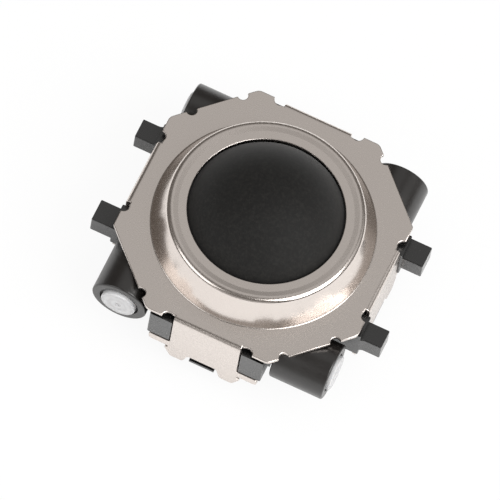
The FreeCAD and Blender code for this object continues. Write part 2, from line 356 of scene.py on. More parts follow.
class Channel:
    """One output of a node tree, on which shader maths is written as plain sums."""

    def __init__(self, graph: "Graph", socket: bpy.types.NodeSocket) -> None:
        """Wraps a socket of a graph."""
        self.graph = graph
        self.socket = socket

    def __add__(self, other: "Value") -> "Channel":
        """Sum."""
        return self.graph.maths("ADD", self, other)

    def __radd__(self, other: "Value") -> "Channel":
        """Sum with a number first."""
        return self.graph.maths("ADD", other, self)

    def __sub__(self, other: "Value") -> "Channel":
        """Difference."""
        return self.graph.maths("SUBTRACT", self, other)

    def __rsub__(self, other: "Value") -> "Channel":
        """Difference from a number."""
        return self.graph.maths("SUBTRACT", other, self)

    def __mul__(self, other: "Value") -> "Channel":
        """Product."""
        return self.graph.maths("MULTIPLY", self, other)

    def __rmul__(self, other: "Value") -> "Channel":
        """Product with a number first."""
        return self.graph.maths("MULTIPLY", other, self)

    def __pow__(self, other: "Value") -> "Channel":
        """Power."""
        return self.graph.maths("POWER", self, other)

    def sibling(self, output: str | int) -> "Channel":
        """Another output of the same node."""
        return Channel(self.graph, self.socket.node.outputs[output])

    def between(self, low: float, high: float) -> "Channel":
        """Smooth step from 0 at low to 1 at high.

        Args:
            low: Value that gives 0.
            high: Value that gives 1, which may be the smaller one.

        Returns:
            The step.
        """
        sockets = {"Value": self, "From Min": low, "From Max": high}
        return self.graph.node("ShaderNodeMapRange", {"interpolation_type": "SMOOTHSTEP"}, sockets)


Value = Union[Channel, float, Sequence[float]]


@dataclass(frozen=True)
class Speckle:
    """Noise pattern that a finish reads.

    Args:
        size: Size of its largest lumps in millimetres.
        detail: Octaves.
        rough: Share that each octave keeps.
    """

    size: float
    detail: float = 3.0
    rough: float = 0.5


class Graph:
    """Node tree of one material or of the room, in which a single method makes every node."""

    def __init__(self, owner: bpy.types.Material | bpy.types.World) -> None:
        """Empties the tree of its owner.

        Args:
            owner: New material or world.
        """
        self.owner = owner
        owner.use_nodes = True
        self.tree = owner.node_tree
        self.tree.nodes.clear()

    @classmethod
    def of_material(cls, name: str) -> "Graph":
        """Graph of a new material under a name."""
        return cls(bpy.data.materials.new(name))

    def node(
        self,
        kind: str,
        settings: Mapping[str, Any] | None = None,
        sockets: Mapping[str | int, Value] | None = None,
        output: str | int = 0,
    ) -> Channel:
        """Makes one node.

        Args:
            kind: Type of the node.
            settings: Its properties, set first.
            sockets: Values or links of its inputs, by name or number.
            output: Output that is handed on.

        Returns:
            The chosen output.
        """
        node = self.tree.nodes.new(kind)
        for name, value in (settings or {}).items():
            setattr(node, name, value)
        for key, value in (sockets or {}).items():
            socket = node.inputs[key]
            if isinstance(value, Channel):
                self.tree.links.new(value.socket, socket)
            else:
                socket.default_value = (*value, 1.0) if socket.type == "RGBA" else value
        return Channel(self, node.outputs[output])

    def maths(self, operation: str, first: Value, second: Value = 0.0) -> Channel:
        """Math node on one or two values."""
        return self.node("ShaderNodeMath", {"operation": operation}, {0: first, 1: second})

    def vector(self, operation: str, first: Value, second: Value) -> Channel:
        """Vector Math node on two vectors."""
        return self.node("ShaderNodeVectorMath", {"operation": operation}, {0: first, 1: second})

    def place(self) -> Channel:
        """Place on the object in millimetres."""
        here = self.node("ShaderNodeTexCoord", output="Object")
        return self.vector("MULTIPLY", here, (1 / MM, 1 / MM, 1 / MM))

    def parts(self, vector: Channel) -> tuple[Channel, Channel, Channel]:
        """The three parts of a vector."""
        split = self.node("ShaderNodeSeparateXYZ", sockets={0: vector})
        return split.sibling(0), split.sibling(1), split.sibling(2)

    def noise(self, place: Channel, speckle: Speckle) -> Channel:
        """Noise between 0 and 1.

        Args:
            place: Place to read it at, in millimetres.
            speckle: Its size and octaves.

        Returns:
            The noise.
        """
        sockets = {
            "Vector": place,
            "Scale": 1 / speckle.size,
            "Detail": speckle.detail,
            "Roughness": speckle.rough,
        }
        return self.node("ShaderNodeTexNoise", {"noise_dimensions": "3D"}, sockets)

    def blend(self, share: Value, first: Value, second: Value) -> Channel:
        """Colour between two colours.

        Args:
            share: 0 for the first colour and 1 for the second.
            first: Colour at 0.
            second: Colour at 1.

        Returns:
            The blended colour.
        """
        sockets = {0: share, 6: first, 7: second}
        return self.node("ShaderNodeMix", {"data_type": "RGBA"}, sockets, output=2)

    def bump(self, height: Channel, depth: float, normal: Channel | None = None) -> Channel:
        """Bump from a height between 0 and 1.

        Args:
            height: The height.
            depth: Height of 1 in millimetres.
            normal: Normal that it is laid on, where there is one.

        Returns:
            The bumped normal.
        """
        sockets: dict[str | int, Value] = {"Height": height, "Strength": 1.0, "Distance": depth * MM}
        if normal:
            sockets["Normal"] = normal
        return self.node("ShaderNodeBump", sockets=sockets)

    def broken_edges(self, radius: float) -> Channel:
        """Normal that rounds sharp edges by a radius in millimetres."""
        return self.node("ShaderNodeBevel", {"samples": 6}, {"Radius": radius * MM})

    def shaded(self, pattern: Channel, colour: Colour, shades: Span) -> Channel:
        """Colour that wanders between two shades of itself.

        Args:
            pattern: 0 for the first shade and 1 for the second.
            colour: The colour.
            shades: What the colour is multiplied by for each shade.

        Returns:
            The shaded colour.
        """
        return self.blend(pattern, *([part * shade for part in colour] for shade in shades))

    @staticmethod
    def varied(mean: Value, *changes: tuple[Channel, float]) -> Value:
        """Number that patterns change to both sides of its mean.

        Args:
            mean: The number without them.
            *changes: Patterns between 0 and 1, each with the whole change that it makes.

        Returns:
            The changed number.
        """
        for pattern, change in changes:
            mean = mean + (pattern - 0.5) * change
        return mean

    def surface(self, **sockets: Value) -> bpy.types.Material:
        """Closes the tree with a principled shader.

        Args:
            **sockets: Its inputs, with an underscore for each space in a name.

        Returns:
            The finished material.
        """
        named = {name.replace("_", " "): value for name, value in sockets.items()}
        self.close(self.node("ShaderNodeBsdfPrincipled", sockets=named))
        return self.owner

    def close(self, shader: Channel) -> None:
        """Leads a shader to the output of the material or world.

        Args:
            shader: The whole surface or background.
        """
        kind = "World" if isinstance(self.owner, bpy.types.World) else "Material"
        output = self.tree.nodes.new(f"ShaderNodeOutput{kind}")
        self.tree.links.new(shader.socket, output.inputs["Surface"])


@dataclass(frozen=True)
class SatinNickel:
    """Thin nickel on drawn sheet steel: a fine mottled grain, with drawing marks up the collar.

    Args:
        crest: Radius of the collar's crest in millimetres.
        plate_top: Height of the plate's top in millimetres.
        colour: Reflectance of the metal.
        shades: Shades of the clouds.
        stain: Reflectance of stained grain.
        stained: Span of the grain in which the stain sets in.
        stain_share: How much of the stain shows.
        roughness: Mean roughness.
        polish: What the drawing die takes off the roughness of the collar's wall.
        clouds: Slow change of tint.
        cloud_gloss: Change that the clouds make to the roughness.
        grain: Grain of the rolled sheet.
        grain_gloss: Change that the grain makes to the roughness.
        streaks: Drawing marks up the collar's wall.
        streak_turns: Scale of the streaks round the collar.
        streak_stretch: Scale of the streaks up the collar.
        streak_share: Depth of the streaks, as a share of the relief.
        collar_rise: Heights above the plate between which the collar's finish sets in.
        wall_start: Distances from the crest between which the wall's finish sets in.
        collar_wear: Share of the grain that the die rubs off the collar.
        wall_wear: Further share that it rubs off the wall.
        relief: Height of the grain in millimetres.
    """

    crest: float
    plate_top: float
    colour: Colour = (0.80, 0.735, 0.69)
    shades: Span = (0.95, 1.0)
    stain: Colour = (0.60, 0.535, 0.49)
    stained: Span = (0.30, 0.75)
    stain_share: float = 0.14
    roughness: float = 0.27
    polish: float = 0.09
    clouds: Speckle = Speckle(1.7, 4, 0.6)
    cloud_gloss: float = 0.08
    grain: Speckle = Speckle(0.055, 2, 0.6)
    grain_gloss: float = 0.10
    streaks: Speckle = Speckle(0.22, 3, 0.6)
    streak_turns: float = 9.0
    streak_stretch: float = 0.35
    streak_share: float = 0.15
    collar_rise: Span = (0.02, 0.12)
    wall_start: Span = (-0.08, 0.02)
    collar_wear: float = 0.5
    wall_wear: float = 0.4
    relief: float = 0.0005

    def material(self, name: str) -> bpy.types.Material:
        """Makes the material.

        Args:
            name: Name of the material.

        Returns:
            The finished material.
        """
        graph = Graph.of_material(name)
        place = graph.place()
        x, y, z = graph.parts(place)
        clouds = graph.noise(place, self.clouds)
        grain = graph.noise(place, self.grain)
        out = (x * x + y * y) ** 0.5
        drawn = {
            0: graph.maths("ARCTAN2", y, x) * self.streak_turns,
            1: out * self.streak_stretch,
            2: z * self.streak_stretch,
        }
        streaks = graph.noise(graph.node("ShaderNodeCombineXYZ", sockets=drawn), self.streaks)
        collar = z.between(*(self.plate_top + step for step in self.collar_rise))
        wall = collar * out.between(*(self.crest + step for step in self.wall_start))
        worn = grain * (1 - collar * self.collar_wear) * (1 - wall * self.wall_wear)
        gloss = ((clouds, self.cloud_gloss), (grain, self.grain_gloss))
        stain = grain.between(*self.stained) * self.stain_share
        return graph.surface(
            Base_Color=graph.blend(stain, graph.shaded(clouds, self.colour, self.shades), self.stain),
            Metallic=1.0,
            Roughness=graph.varied(self.roughness - wall * self.polish, *gloss),
            Normal=graph.bump(worn + streaks * wall * self.streak_share, self.relief),
        )


@dataclass(frozen=True)
class BlackMoulding:
    """Black moulded plastic with a fine spark-eroded grain and softly broken edges.

    Args:
        colour: Body colour.
        roughness: Mean roughness.
        edge: Radius of the broken edges in millimetres.
        index: Refractive index.
        skin: Weight of the glossier moulding skin.
        skin_roughness: Roughness of that skin.
        flow: Slow change where the plastic flowed.
        flow_gloss: Change that the flow makes to the roughness.
        shades: Shades of the flow.
        grain: Grain of the spark-eroded mould.
        grain_gloss: Change that the grain makes to the roughness.
        relief: Height of the grain in millimetres.
    """

    colour: Colour = (0.006, 0.006, 0.006)
    roughness: float = 0.27
    edge: float = 0.02
    index: float = 1.65
    skin: float = 0.55
    skin_roughness: float = 0.25
    flow: Speckle = Speckle(1.3)
    flow_gloss: float = 0.12
    shades: Span = (0.8, 1.25)
    grain: Speckle = Speckle(0.045, 2, 0.6)
    grain_gloss: float = 0.10
    relief: float = 0.0016

    def material(self, name: str) -> bpy.types.Material:
        """Makes the material.

        Args:
            name: Name of the material.

        Returns:
            The finished material.
        """
        graph = Graph.of_material(name)
        place = graph.place()
        flow = graph.noise(place, self.flow)
        grain = graph.noise(place, self.grain)
        return graph.surface(
            Base_Color=graph.shaded(flow, self.colour, self.shades),
            Roughness=graph.varied(self.roughness, (flow, self.flow_gloss), (grain, self.grain_gloss)),
            IOR=self.index,
            Coat_Weight=self.skin,
            Coat_Roughness=self.skin_roughness,
            Normal=graph.bump(grain, self.relief, graph.broken_edges(self.edge)),
        )


@dataclass(frozen=True)
class BallBlack:
    """Tumbled black resin of the ball: matt, with fine specks and faint rub marks.

    Args:
        colour: Body colour.
        roughness: Mean roughness.
        index: Refractive index.
        wear: Patches that are worn a little smoother.
        wear_gloss: Change that the wear makes to the roughness.
        rubs: Rub marks, before they are drawn out.
        rub_scale: Scale of the rub marks along X, Y and Z.
        rub_gloss: Change that the rub marks make to the roughness.
        specks: Lighter specks in the resin.
        speckled: Span of the noise in which the specks set in.
        shades: Shades of the resin between and in the specks.
        sheen: Weight of the pale sheen that fine dust leaves.
        sheen_roughness: Roughness of that sheen.
        grain: Tumbled grain.
        relief: Height of the grain in millimetres.
    """

    colour: Colour = (0.0045, 0.0042, 0.0036)
    roughness: float = 0.74
    index: float = 1.45
    wear: Speckle = Speckle(1.9, 4, 0.55)
    wear_gloss: float = 0.08
    rubs: Speckle = Speckle(0.9, 2, 0.5)
    rub_scale: Scale = (0.4, 7.0, 1.2)
    rub_gloss: float = 0.06
    specks: Speckle = Speckle(0.13, 3, 0.8)
    speckled: Span = (0.40, 0.72)
    shades: Span = (0.5, 2.1)
    sheen: float = 0.14
    sheen_roughness: float = 0.45
    grain: Speckle = Speckle(0.05, 2, 0.55)
    relief: float = 0.0022

    def material(self, name: str) -> bpy.types.Material:
        """Makes the material.

        Args:
            name: Name of the material.

        Returns:
            The finished material.
        """
        graph = Graph.of_material(name)
        place = graph.place()
        wear = graph.noise(place, self.wear)
        rubs = graph.noise(graph.vector("MULTIPLY", place, self.rub_scale), self.rubs)
        specks = graph.noise(place, self.specks).between(*self.speckled)
        return graph.surface(
            Base_Color=graph.shaded(specks, self.colour, self.shades),
            Roughness=graph.varied(self.roughness, (wear, self.wear_gloss), (rubs, self.rub_gloss)),
            IOR=self.index,
            Sheen_Weight=self.sheen,
            Sheen_Roughness=self.sheen_roughness,
            Normal=graph.bump(graph.noise(place, self.grain), self.relief),
        )


@dataclass(frozen=True)
class CoatedMagnet:
    """Pressed ring magnet under a thin black coat, a little uneven over the grains below.

    Args:
        colour: Body colour.
        roughness: Mean roughness.
        index: Refractive index.
        skin: Weight of the lacquer over it.
        skin_roughness: Roughness of the lacquer.
        patches: Uneven places of the coat.
        patch_gloss: Change that the patches make to the roughness.
        shades: Shades of the patches.
        grain: Grain of the pressed powder below.
        relief: Height of the grain in millimetres.
    """

    colour: Colour = (0.008, 0.0068, 0.0062)
    roughness: float = 0.34
    index: float = 1.62
    skin: float = 0.4
    skin_roughness: float = 0.30
    patches: Speckle = Speckle(0.7, 4, 0.6)
    patch_gloss: float = 0.14
    shades: Span = (1.0, 1.6)
    grain: Speckle = Speckle(0.08, 3, 0.6)
    relief: float = 0.0012

    def material(self, name: str) -> bpy.types.Material:
        """Makes the material.

        Args:
            name: Name of the material.

        Returns:
            The finished material.
        """
        graph = Graph.of_material(name)
        place = graph.place()
        patches = graph.noise(place, self.patches)
        return graph.surface(
            Base_Color=graph.shaded(patches, self.colour, self.shades),
            Roughness=graph.varied(self.roughness, (patches, self.patch_gloss)),
            IOR=self.index,
            Coat_Weight=self.skin,
            Coat_Roughness=self.skin_roughness,
            Normal=graph.bump(graph.noise(place, self.grain), self.relief),
        )


@dataclass(frozen=True)
class TurnedAcetal:
    """Natural white acetal turned on a lathe, with rings round its axis.

    Args:
        colour: Body colour.
        shades: Shades of the bands and the milk.
        roughness: Least roughness.
        index: Refractive index.
        ring: Feed of the turning tool in millimetres.
        band: Spacing of the wider bands that the tool's chatter leaves, in millimetres.
        milk: Cloudiness of the plastic.
        milk_gloss: What the milk adds to the roughness.
        glow: Share of the light that goes into the plastic.
        depth: How deep it goes, in millimetres.
        depths: How deep each colour goes, as shares of that.
        relief: Height of the rings in millimetres.
    """

    colour: Colour = (0.72, 0.72, 0.73)
    shades: Span = (1.0, 0.82)
    roughness: float = 0.34
    index: float = 1.48
    ring: float = 0.045
    band: float = 0.26
    milk: Speckle = Speckle(0.35)
    milk_gloss: float = 0.12
    glow: float = 0.12
    depth: float = 0.25
    depths: Colour = (0.6, 0.55, 0.5)
    relief: float = 0.0010

    def material(self, name: str) -> bpy.types.Material:
        """Makes the material on the lathe coordinates of the piece.

        Args:
            name: Name of the material.

        Returns:
            The finished material.
        """
        graph = Graph.of_material(name)
        lathe = graph.node("ShaderNodeAttribute", {"attribute_name": Roller.LATHE}, output="Vector")
        out, along, _ = graph.parts(lathe)
        travel = (out + along) * math.tau
        rings = graph.maths("SINE", travel * (1 / self.ring)) * 0.5 + 0.5
        bands = graph.maths("COSINE", travel * (1 / self.band)) * 0.5 + 0.5
        milky = graph.noise(graph.place(), self.milk)
        return graph.surface(
            Base_Color=graph.shaded((milky + bands) * 0.5, self.colour, self.shades),
            Roughness=self.roughness + milky * self.milk_gloss,
            IOR=self.index,
            Subsurface_Weight=self.glow,
            Subsurface_Radius=self.depths,
            Subsurface_Scale=self.depth * MM,
            Normal=graph.bump(rings, self.relief),
        )


@dataclass(frozen=True)
class MouldedAcetal:
    """Natural white acetal as moulded, for the bushes and the ball's seat.

    Args:
        colour: Body colour.
        shades: Shades of the milk.
        roughness: Mean roughness.
        index: Refractive index.
        milk: Cloudiness of the plastic.
        milk_gloss: Change that the milk makes to the roughness.
        grain: Grain of the mould.
        relief: Height of the grain in millimetres.
        edge: Radius of the broken edges in millimetres.
    """

    colour: Colour = (0.78, 0.77, 0.73)
    shades: Span = (0.9, 1.0)
    roughness: float = 0.42
    index: float = 1.48
    milk: Speckle = Speckle(0.3)
    milk_gloss: float = 0.1
    grain: Speckle = Speckle(0.05, 2)
    relief: float = 0.001
    edge: float = 0.015

    def material(self, name: str) -> bpy.types.Material:
        """Makes the material.

        Args:
            name: Name of the material.

        Returns:
            The finished material.
        """
        graph = Graph.of_material(name)
        place = graph.place()
        milky = graph.noise(place, self.milk)
        grain = graph.noise(place, self.grain)
        return graph.surface(
            Base_Color=graph.shaded(milky, self.colour, self.shades),
            Roughness=graph.varied(self.roughness, (milky, self.milk_gloss)),
            IOR=self.index,
            Normal=graph.bump(grain, self.relief, graph.broken_edges(self.edge)),
        )


@dataclass(frozen=True)
class TurnedSteel:
    """Bright turned steel of the shafts, with lathe marks across the axis.

    Args:
        across: Scale of the lathe marks along X, Y and Z.
        colour: Reflectance of the metal.
        shades: Shades of the stain.
        roughness: Mean roughness.
        marks: Lathe marks, before they are scaled.
        mark_gloss: Change that the marks make to the roughness.
        stain: Slow change of tint.
        relief: Height of the marks in millimetres.
    """

    across: Scale
    colour: Colour = (0.62, 0.61, 0.59)
    shades: Span = (0.85, 1.0)
    roughness: float = 0.24
    marks: Speckle = Speckle(0.5, 2)
    mark_gloss: float = 0.12
    stain: Speckle = Speckle(0.8)
    relief: float = 0.0008

    def material(self, name: str) -> bpy.types.Material:
        """Makes the material.

        Args:
            name: Name of the material.

        Returns:
            The finished material.
        """
        graph = Graph.of_material(name)
        place = graph.place()
        marks = graph.noise(graph.vector("MULTIPLY", place, self.across), self.marks)
        stain = graph.noise(place, self.stain)
        return graph.surface(
            Base_Color=graph.shaded(stain, self.colour, self.shades),
            Metallic=1.0,
            Roughness=graph.varied(self.roughness, (marks, self.mark_gloss)),
            Normal=graph.bump(marks, self.relief),
        )


def coat(piece: bpy.types.Object, material: bpy.types.Material) -> None:
    """Gives a piece one material all over.

    Args:
        piece: New piece or node.
        material: Its finish.
    """
    piece.data.materials.clear()
    piece.data.materials.append(material)


@dataclass
class Cover:
    """Sheet steel cover: plate, drawn collar and four folded walls, as one folded sheet.

    All sizes are in millimetres.

    Args:
        half: Half the width across the walls.
        top: Height of the collar's crest.
        plate_top: Height of the plate's top.
        foot_bottom: Height of the feet's ends.
        opening: Radius of the ball's opening.
        ear_half: Distance from a side's middle to the cut-off corner.
        neck_half: Half the width of the necks that join the walls to the plate.
        block_out: Distance from a side's middle to the far face of a bearing block.
        sheet: Thickness of the sheet.
        bend_inside: Inner radius of the folds.
        annulus_width: Width of the collar's top, from the opening to the crest.
        collar_slope: How far the collar's wall leans out from crest to root.
        crest_round: Rounding of the crest.
        bead_width: Width of the raised bead on the crest.
        bead_height: Height of the bead.
        bead_foot: Width of the bead's inner slope, and its roundings.
        root_round: Rounding of the collar's root.
        root_flange: Width of the flat sheet round the root that is spun with the collar.
        opening_round: Rounding of the opening's upper edge.
        ear_round: Rounding of the ears' corners.
        plain_ear_round: Rounding of the ear corners without a notch beside them.
        relief_radius: Radius of the bend reliefs beside the necks.
        notch_radius: Radius of the notches in the cut-off corners.
        notch_from_ear: Distance of a notch from its ear's corner.
        side_notch_from_ear: The same for the notches nearer the left and right sides.
        arm_depth: Depth of the arms' upper edge under the plate's top.
        arm_height: Height of an arm.
        arm_short: How far the arms stop short of the blocks' far faces.
        kerf_height: Height of the kerf under an arm.
        kerf_from_neck: Distance of the kerf's end from the neck's edge.
        foot_inset: How much narrower the feet are than the neck, on each side.
        foot_shoulder: How much wider the wall is over its feet, on each side.
        foot_notch_share: Width of the notch between the feet, as a share of theirs.
        foot_notch_height: Height of that notch.
        foot_notch_inset: How much narrower it is at its top, on each side.
        wall_round: Rounding of the walls' corners.
        edge: Width of the broken edges.
    """

    half: float
    top: float
    plate_top: float
    foot_bottom: float
    opening: float
    ear_half: float
    neck_half: float
    block_out: float
    sheet: float = 0.15
    bend_inside: float = 0.05
    annulus_width: float = 0.727
    collar_slope: float = 0.52
    crest_round: float = 0.24
    bead_width: float = 0.20
    bead_height: float = 0.04
    bead_foot: float = 0.20
    root_round: float = 0.07
    root_flange: float = 0.25
    opening_round: float = 0.045
    ear_round: float = 0.32
    plain_ear_round: float = 0.14
    relief_radius: float = 0.23
    notch_radius: float = 0.20
    notch_from_ear: float = 0.65
    side_notch_from_ear: float = 0.87
    arm_depth: float = 1.94
    arm_height: float = 0.38
    arm_short: float = 0.10
    kerf_height: float = 0.14
    kerf_from_neck: float = 0.05
    foot_inset: float = 0.09
    foot_shoulder: float = 0.30
    foot_notch_share: float = 0.587
    foot_notch_height: float = 0.55
    foot_notch_inset: float = 0.16
    wall_round: float = 0.08
    edge: float = 0.028

    @property
    def bend(self) -> float:
        """Outer radius of the folds."""
        return self.bend_inside + self.sheet

    @property
    def fold(self) -> float:
        """Distance from the middle at which the folds start."""
        return self.half - self.bend

    @property
    def flange(self) -> float:
        """Radius at which the collar's piece meets the plate."""
        return self.opening + self.annulus_width + self.collar_slope + self.root_flange

    def plate(self) -> Bench:
        """Flat plate with ears, notches, bend reliefs and the hole for the collar.

        Returns:
            The workpiece, open where the folds and the collar join it.
        """
        bench = Bench("top_shell_sheet")
        pen = Pen(Plane.LEVEL, Vector((0, 0, self.plate_top)))
        pen.start(-self.fold, self.neck_half)
        self.side_to_rear(pen)
        self.rear_to_side(pen)
        bench.whole()
        bpy.ops.mesh.duplicate()
        bpy.ops.transform.rotate(value=math.pi, orient_axis="Z", center_override=(0, 0, 0))
        bench.whole()
        bpy.ops.mesh.remove_doubles(threshold=MERGE)
        bpy.ops.mesh.primitive_circle_add(
            vertices=ROUND_STEPS, radius=self.flange, location=(0, 0, self.plate_top)
        )
        bench.whole()
        bpy.ops.mesh.fill(use_beauty=True)
        bench.whole()
        bpy.ops.mesh.extrude_region_move(TRANSFORM_OT_translate={"value": (0, 0, -self.sheet)})
        bench.seal()
        bench.select("faces", self.is_open_end)
        bpy.ops.mesh.delete(type="ONLY_FACE")
        bench.leave()
        return bench

    @property
    def relief(self) -> float:
        """Distance of a bend relief's centre from the middle of its side."""
        return self.neck_half + self.relief_radius

    @property
    def bite(self) -> float:
        """Angle at which a bend relief cuts the fold's line."""
        return math.acos(self.bend / self.relief_radius)

    def notch(self, pen: Pen, u: float, v: float, along: Vector) -> None:
        """Draws a half-round notch in a diagonal edge.

        Args:
            pen: Pen on the diagonal edge.
            u: Centre of the notch.
            v: Centre of the notch.
            along: Direction in which the edge is drawn.
        """
        reach = along.normalized() * self.notch_radius
        pen.line(u - reach.x, v - reach.y)
        pen.arc(u, v, math.pi)

    def side_to_rear(self, pen: Pen) -> None:
        """Draws the left side's rear half, the rear-left ears and the rear neck's edge.

        Args:
            pen: Pen at the rear end of the left neck.
        """
        side_step = self.relief_radius * math.sin(self.bite)
        tangent = self.ear_round * math.tan(math.pi / 8)
        slant = tangent / math.sqrt(2)
        far = self.side_notch_from_ear / math.sqrt(2)
        near = self.notch_from_ear / math.sqrt(2)
        along = Vector((1, 1))
        pen.line(-self.fold, self.relief - side_step)
        pen.arc(-self.half, self.relief, math.pi / 2 + self.bite)
        pen.line(-self.half, self.ear_half - tangent)
        pen.arc(-self.half + self.ear_round, self.ear_half - tangent, -math.pi / 4)
        self.notch(pen, -self.half + far, self.ear_half + far, along)
        self.notch(pen, -self.ear_half - near, self.half - near, along)
        pen.line(-self.ear_half - slant, self.half - slant)
        pen.arc(-self.ear_half + tangent, self.half - self.ear_round, -math.pi / 4)
        pen.line(-self.relief - self.relief_radius, self.half)
        pen.arc(-self.relief, self.half, math.pi / 2 + self.bite)
        pen.line(-self.neck_half, self.fold)
        pen.line(self.neck_half, self.fold)

    def rear_to_side(self, pen: Pen) -> None:
        """Draws the rear side's right half, the rear-right ears and the right neck's edge.

        Args:
            pen: Pen at the right end of the rear neck.
        """
        side_step = self.relief_radius * math.sin(self.bite)
        tangent = self.ear_round * math.tan(math.pi / 8)
        near = self.notch_from_ear / math.sqrt(2)
        plain = self.plain_ear_round * math.tan(math.pi / 8)
        pen.line(self.relief - side_step, self.fold)
        pen.arc(self.relief, self.half, math.pi / 2 + self.bite)
        pen.line(self.ear_half - tangent, self.half)
        pen.arc(self.ear_half - tangent, self.half - self.ear_round, -math.pi / 4)
        self.notch(pen, self.ear_half + near, self.half - near, Vector((1, -1)))
        pen.line(self.half - plain / math.sqrt(2), self.ear_half + plain / math.sqrt(2))
        pen.arc(self.half - self.plain_ear_round, self.ear_half - plain, -math.pi / 4)
        pen.line(self.half, self.relief + self.relief_radius)
        pen.arc(self.half, self.relief, math.pi / 2 + self.bite)
        pen.line(self.fold, self.neck_half)
        pen.line(self.fold, -self.neck_half)

    def is_open_end(self, face: bmesh.types.BMFace) -> bool:
        """Whether a face of the plate closes the collar's hole or a neck's end.

        Args:
            face: Face of the flat plate.

        Returns:
            True where another part of the sheet joins on.
        """
        if abs(face.normal.z) > UPRIGHT:
            return False
        centre = face.calc_center_median()
        near, far = sorted((abs(centre.x), abs(centre.y)))
        at_neck = abs(far - self.fold) < MERGE and near < MERGE
        return at_neck or math.hypot(centre.x, centre.y) < self.flange + MERGE

    def collar(self) -> Bench:
        """Drawn collar as a spun profile, open where it meets the plate.

        Returns:
            The workpiece.
        """
        bench = Bench("top_shell_collar")
        crest = self.opening + self.annulus_width
        root = crest + self.collar_slope
        slope = math.atan2(self.collar_slope, self.top - self.plate_top)
        inset = self.sheet * math.tan((math.pi / 2 - slope) / 2)
        annulus = self.top - self.bead_height
        bead = crest - self.bead_width
        profile = [
            (self.flange, self.plate_top, 0),
            (root, self.plate_top, self.root_round),
            (crest, self.top, self.crest_round),
            (bead, self.top, self.bead_foot),
            (bead - self.bead_foot, annulus, self.bead_foot),
            (self.opening, annulus, self.opening_round),
            (self.opening, annulus - self.sheet, 0),
            (crest - inset, annulus - self.sheet, self.crest_round - self.sheet),
            (root - inset, self.plate_top - self.sheet, self.root_round + self.sheet),
            (self.flange, self.plate_top - self.sheet, 0),
        ]
        Pen(Plane.SECTION).trace(profile, closed=False)
        bench.revolve(ROUND_STEPS, (0, 0, 1))
        return bench

    def skirt(self) -> list[Corner]:
        """Outline of a wall with its hooked arms and feet.

        Returns:
            Corners as (place along the side, height from the plate's top, rounding radius).
        """
        arm_end = self.block_out - self.arm_short
        kerf_top = self.arm_depth + self.arm_height
        kerf_bottom = kerf_top + self.kerf_height
        kerf_end = self.neck_half + self.kerf_from_neck
        bottom = self.plate_top - self.foot_bottom
        foot_out = self.neck_half - self.foot_inset
        foot_in = foot_out * self.foot_notch_share
        foot_round = min(self.wall_round * 2, (foot_out - foot_in) / 3)
        half = [
            (self.neck_half, self.bend, 0),
            (self.neck_half, self.arm_depth, self.wall_round / 2),
            (arm_end, self.arm_depth, self.wall_round),
            (arm_end, kerf_top, self.wall_round * 2),
            (kerf_end, kerf_top, self.wall_round / 2),
            (kerf_end, kerf_bottom, self.wall_round / 2),
            (foot_out + self.foot_shoulder, kerf_bottom, self.wall_round),
            (foot_out, bottom, foot_round),
            (foot_in, bottom, foot_round),
            (foot_in - self.foot_notch_inset, bottom - self.foot_notch_height, foot_round),
        ]
        right = [(along, -depth, radius) for along, depth, radius in half]
        return right + [(-along, height, radius) for along, height, radius in reversed(right)]

    def wall(self) -> Bench:
        """Folded wall of the left side, with the bend that joins it to the plate.

        Returns:
            The workpiece, open where it joins the plate's neck.
        """
        bench = Bench("top_shell_wall")
        Pen(Plane.SKIRT, Vector((-self.half, 0, self.plate_top))).trace(self.skirt(), closed=True)
        bench.whole()
        bpy.ops.mesh.remove_doubles(threshold=MERGE)
        bpy.ops.mesh.edge_face_add()
        bpy.ops.mesh.extrude_region_move(TRANSFORM_OT_translate={"value": (self.sheet, 0, 0)})
        bench.seal()
        level = self.plate_top - self.bend
        bench.select("faces", lambda face: all(vert.co.z > level - MERGE for vert in face.verts))
        bpy.ops.mesh.delete(type="ONLY_FACE")
        bench.select("edges", lambda edge: all(abs(vert.co.z - level) < MERGE for vert in edge.verts))
        quarter = math.pi / 2
        steps = math.ceil(quarter / ARC_STEP)
        bpy.ops.mesh.spin(steps=steps, angle=-quarter, center=(-self.fold, 0, level), axis=(0, 1, 0))
        bench.leave()
        return bench

    def build(self) -> bpy.types.Object:
        """Joins plate, collar and walls into one sheet.

        Returns:
            The finished cover.
        """
        plate = self.plate()
        collar = self.collar()
        wall = self.wall()
        walls = [turned_copy(wall.piece, f"{wall.piece.name}_{side.label}", side) for side in Side]
        bpy.data.objects.remove(wall.piece)
        plate.absorb([collar.piece, *walls])
        plate.edit()
        plate.seal()
        plate.leave()
        return plate.finish(self.edge)

    def dress(self, shell: bpy.types.Object) -> None:
        """Gives the cover its finish, ties it to its body and hides the node it stands in for.

        Args:
            shell: The finished cover.
        """
        nickel = SatinNickel(crest=self.opening + self.annulus_width, plate_top=self.plate_top)
        coat(shell, nickel.material("satin_nickel"))
        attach(shell, "root")
        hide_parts("top_shell")


